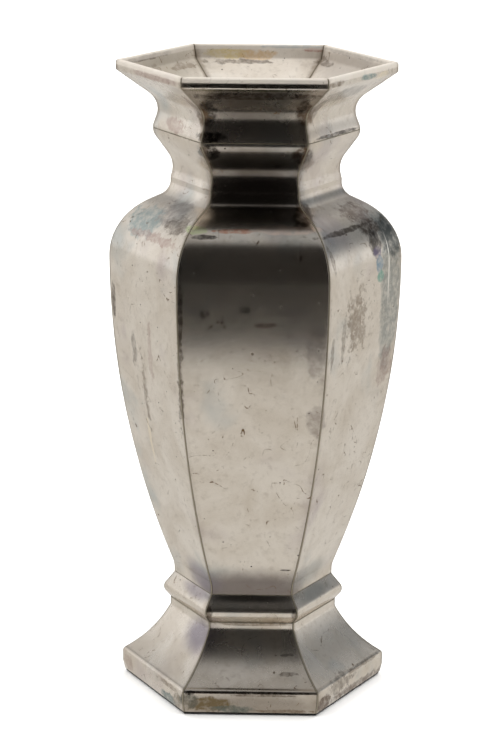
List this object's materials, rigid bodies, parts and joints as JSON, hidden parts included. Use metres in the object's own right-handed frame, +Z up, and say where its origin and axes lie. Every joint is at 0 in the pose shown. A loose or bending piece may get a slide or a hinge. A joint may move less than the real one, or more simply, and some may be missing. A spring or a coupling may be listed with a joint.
{
  "type": "hexagonal vase",
  "caption": "Six-sided metal baluster vase with a flared lipped mouth, long tapering panelled body and spreading stepped foot.",
  "frame": {"origin": "centre of the underside, on the plane the vase stands on", "axes": "+Z up the vase's axis, -Y out of the front face, corners towards +X and -X"},
  "size_m": [0.114, 0.0988, 0.25],
  "materials": {
    "silver_plate_mouth": "tarnished silver plate on white metal, old hand polish",
    "silver_plate_body": "tarnished silver plate on white metal, old hand polish",
    "silver_plate_collar": "tarnished silver plate on white metal, old hand polish",
    "silver_plate_foot": "tarnished silver plate on white metal, old hand polish",
    "soft_solder": "dull tarnished solder",
    "floor_metal": "dull, water stained",
    "base_metal": "dull, unplated",
    "baize": "felted wool cloth, black",
    "plaster_filling": "cast plaster"
  },
  "bodies": {
    "root": {"mouth_panel_front": "silver_plate_mouth", "mouth_panel_front_right": "silver_plate_mouth", "mouth_panel_back_right": "silver_plate_mouth", "mouth_panel_back": "silver_plate_mouth", "mouth_panel_back_left": "silver_plate_mouth", "mouth_panel_front_left": "silver_plate_mouth", "body_panel_front": "silver_plate_body", "body_panel_front_right": "silver_plate_body", "body_panel_back_right": "silver_plate_body", "body_panel_back": "silver_plate_body", "body_panel_back_left": "silver_plate_body", "body_panel_front_left": "silver_plate_body", "collar_strip_front": "silver_plate_collar", "collar_strip_front_right": "silver_plate_collar", "collar_strip_back_right": "silver_plate_collar", "collar_strip_back": "silver_plate_collar", "collar_strip_back_left": "silver_plate_collar", "collar_strip_front_left": "silver_plate_collar", "foot_panel_front": "silver_plate_foot", "foot_panel_front_right": "silver_plate_foot", "foot_panel_back_right": "silver_plate_foot", "foot_panel_back": "silver_plate_foot", "foot_panel_back_left": "silver_plate_foot", "foot_panel_front_left": "silver_plate_foot", "mouth_seam_solder": "soft_solder", "body_seam_solder": "soft_solder", "collar_seam_solder": "soft_solder", "foot_seam_solder": "soft_solder", "bulge_solder": "soft_solder", "waist_solder": "soft_solder", "collar_solder": "soft_solder", "floor_solder": "soft_solder", "floor_plate": "floor_metal", "base_plate": "base_metal", "baize_pad": "baize", "foot_load": "plaster_filling"}
  },
  "joints": []
}
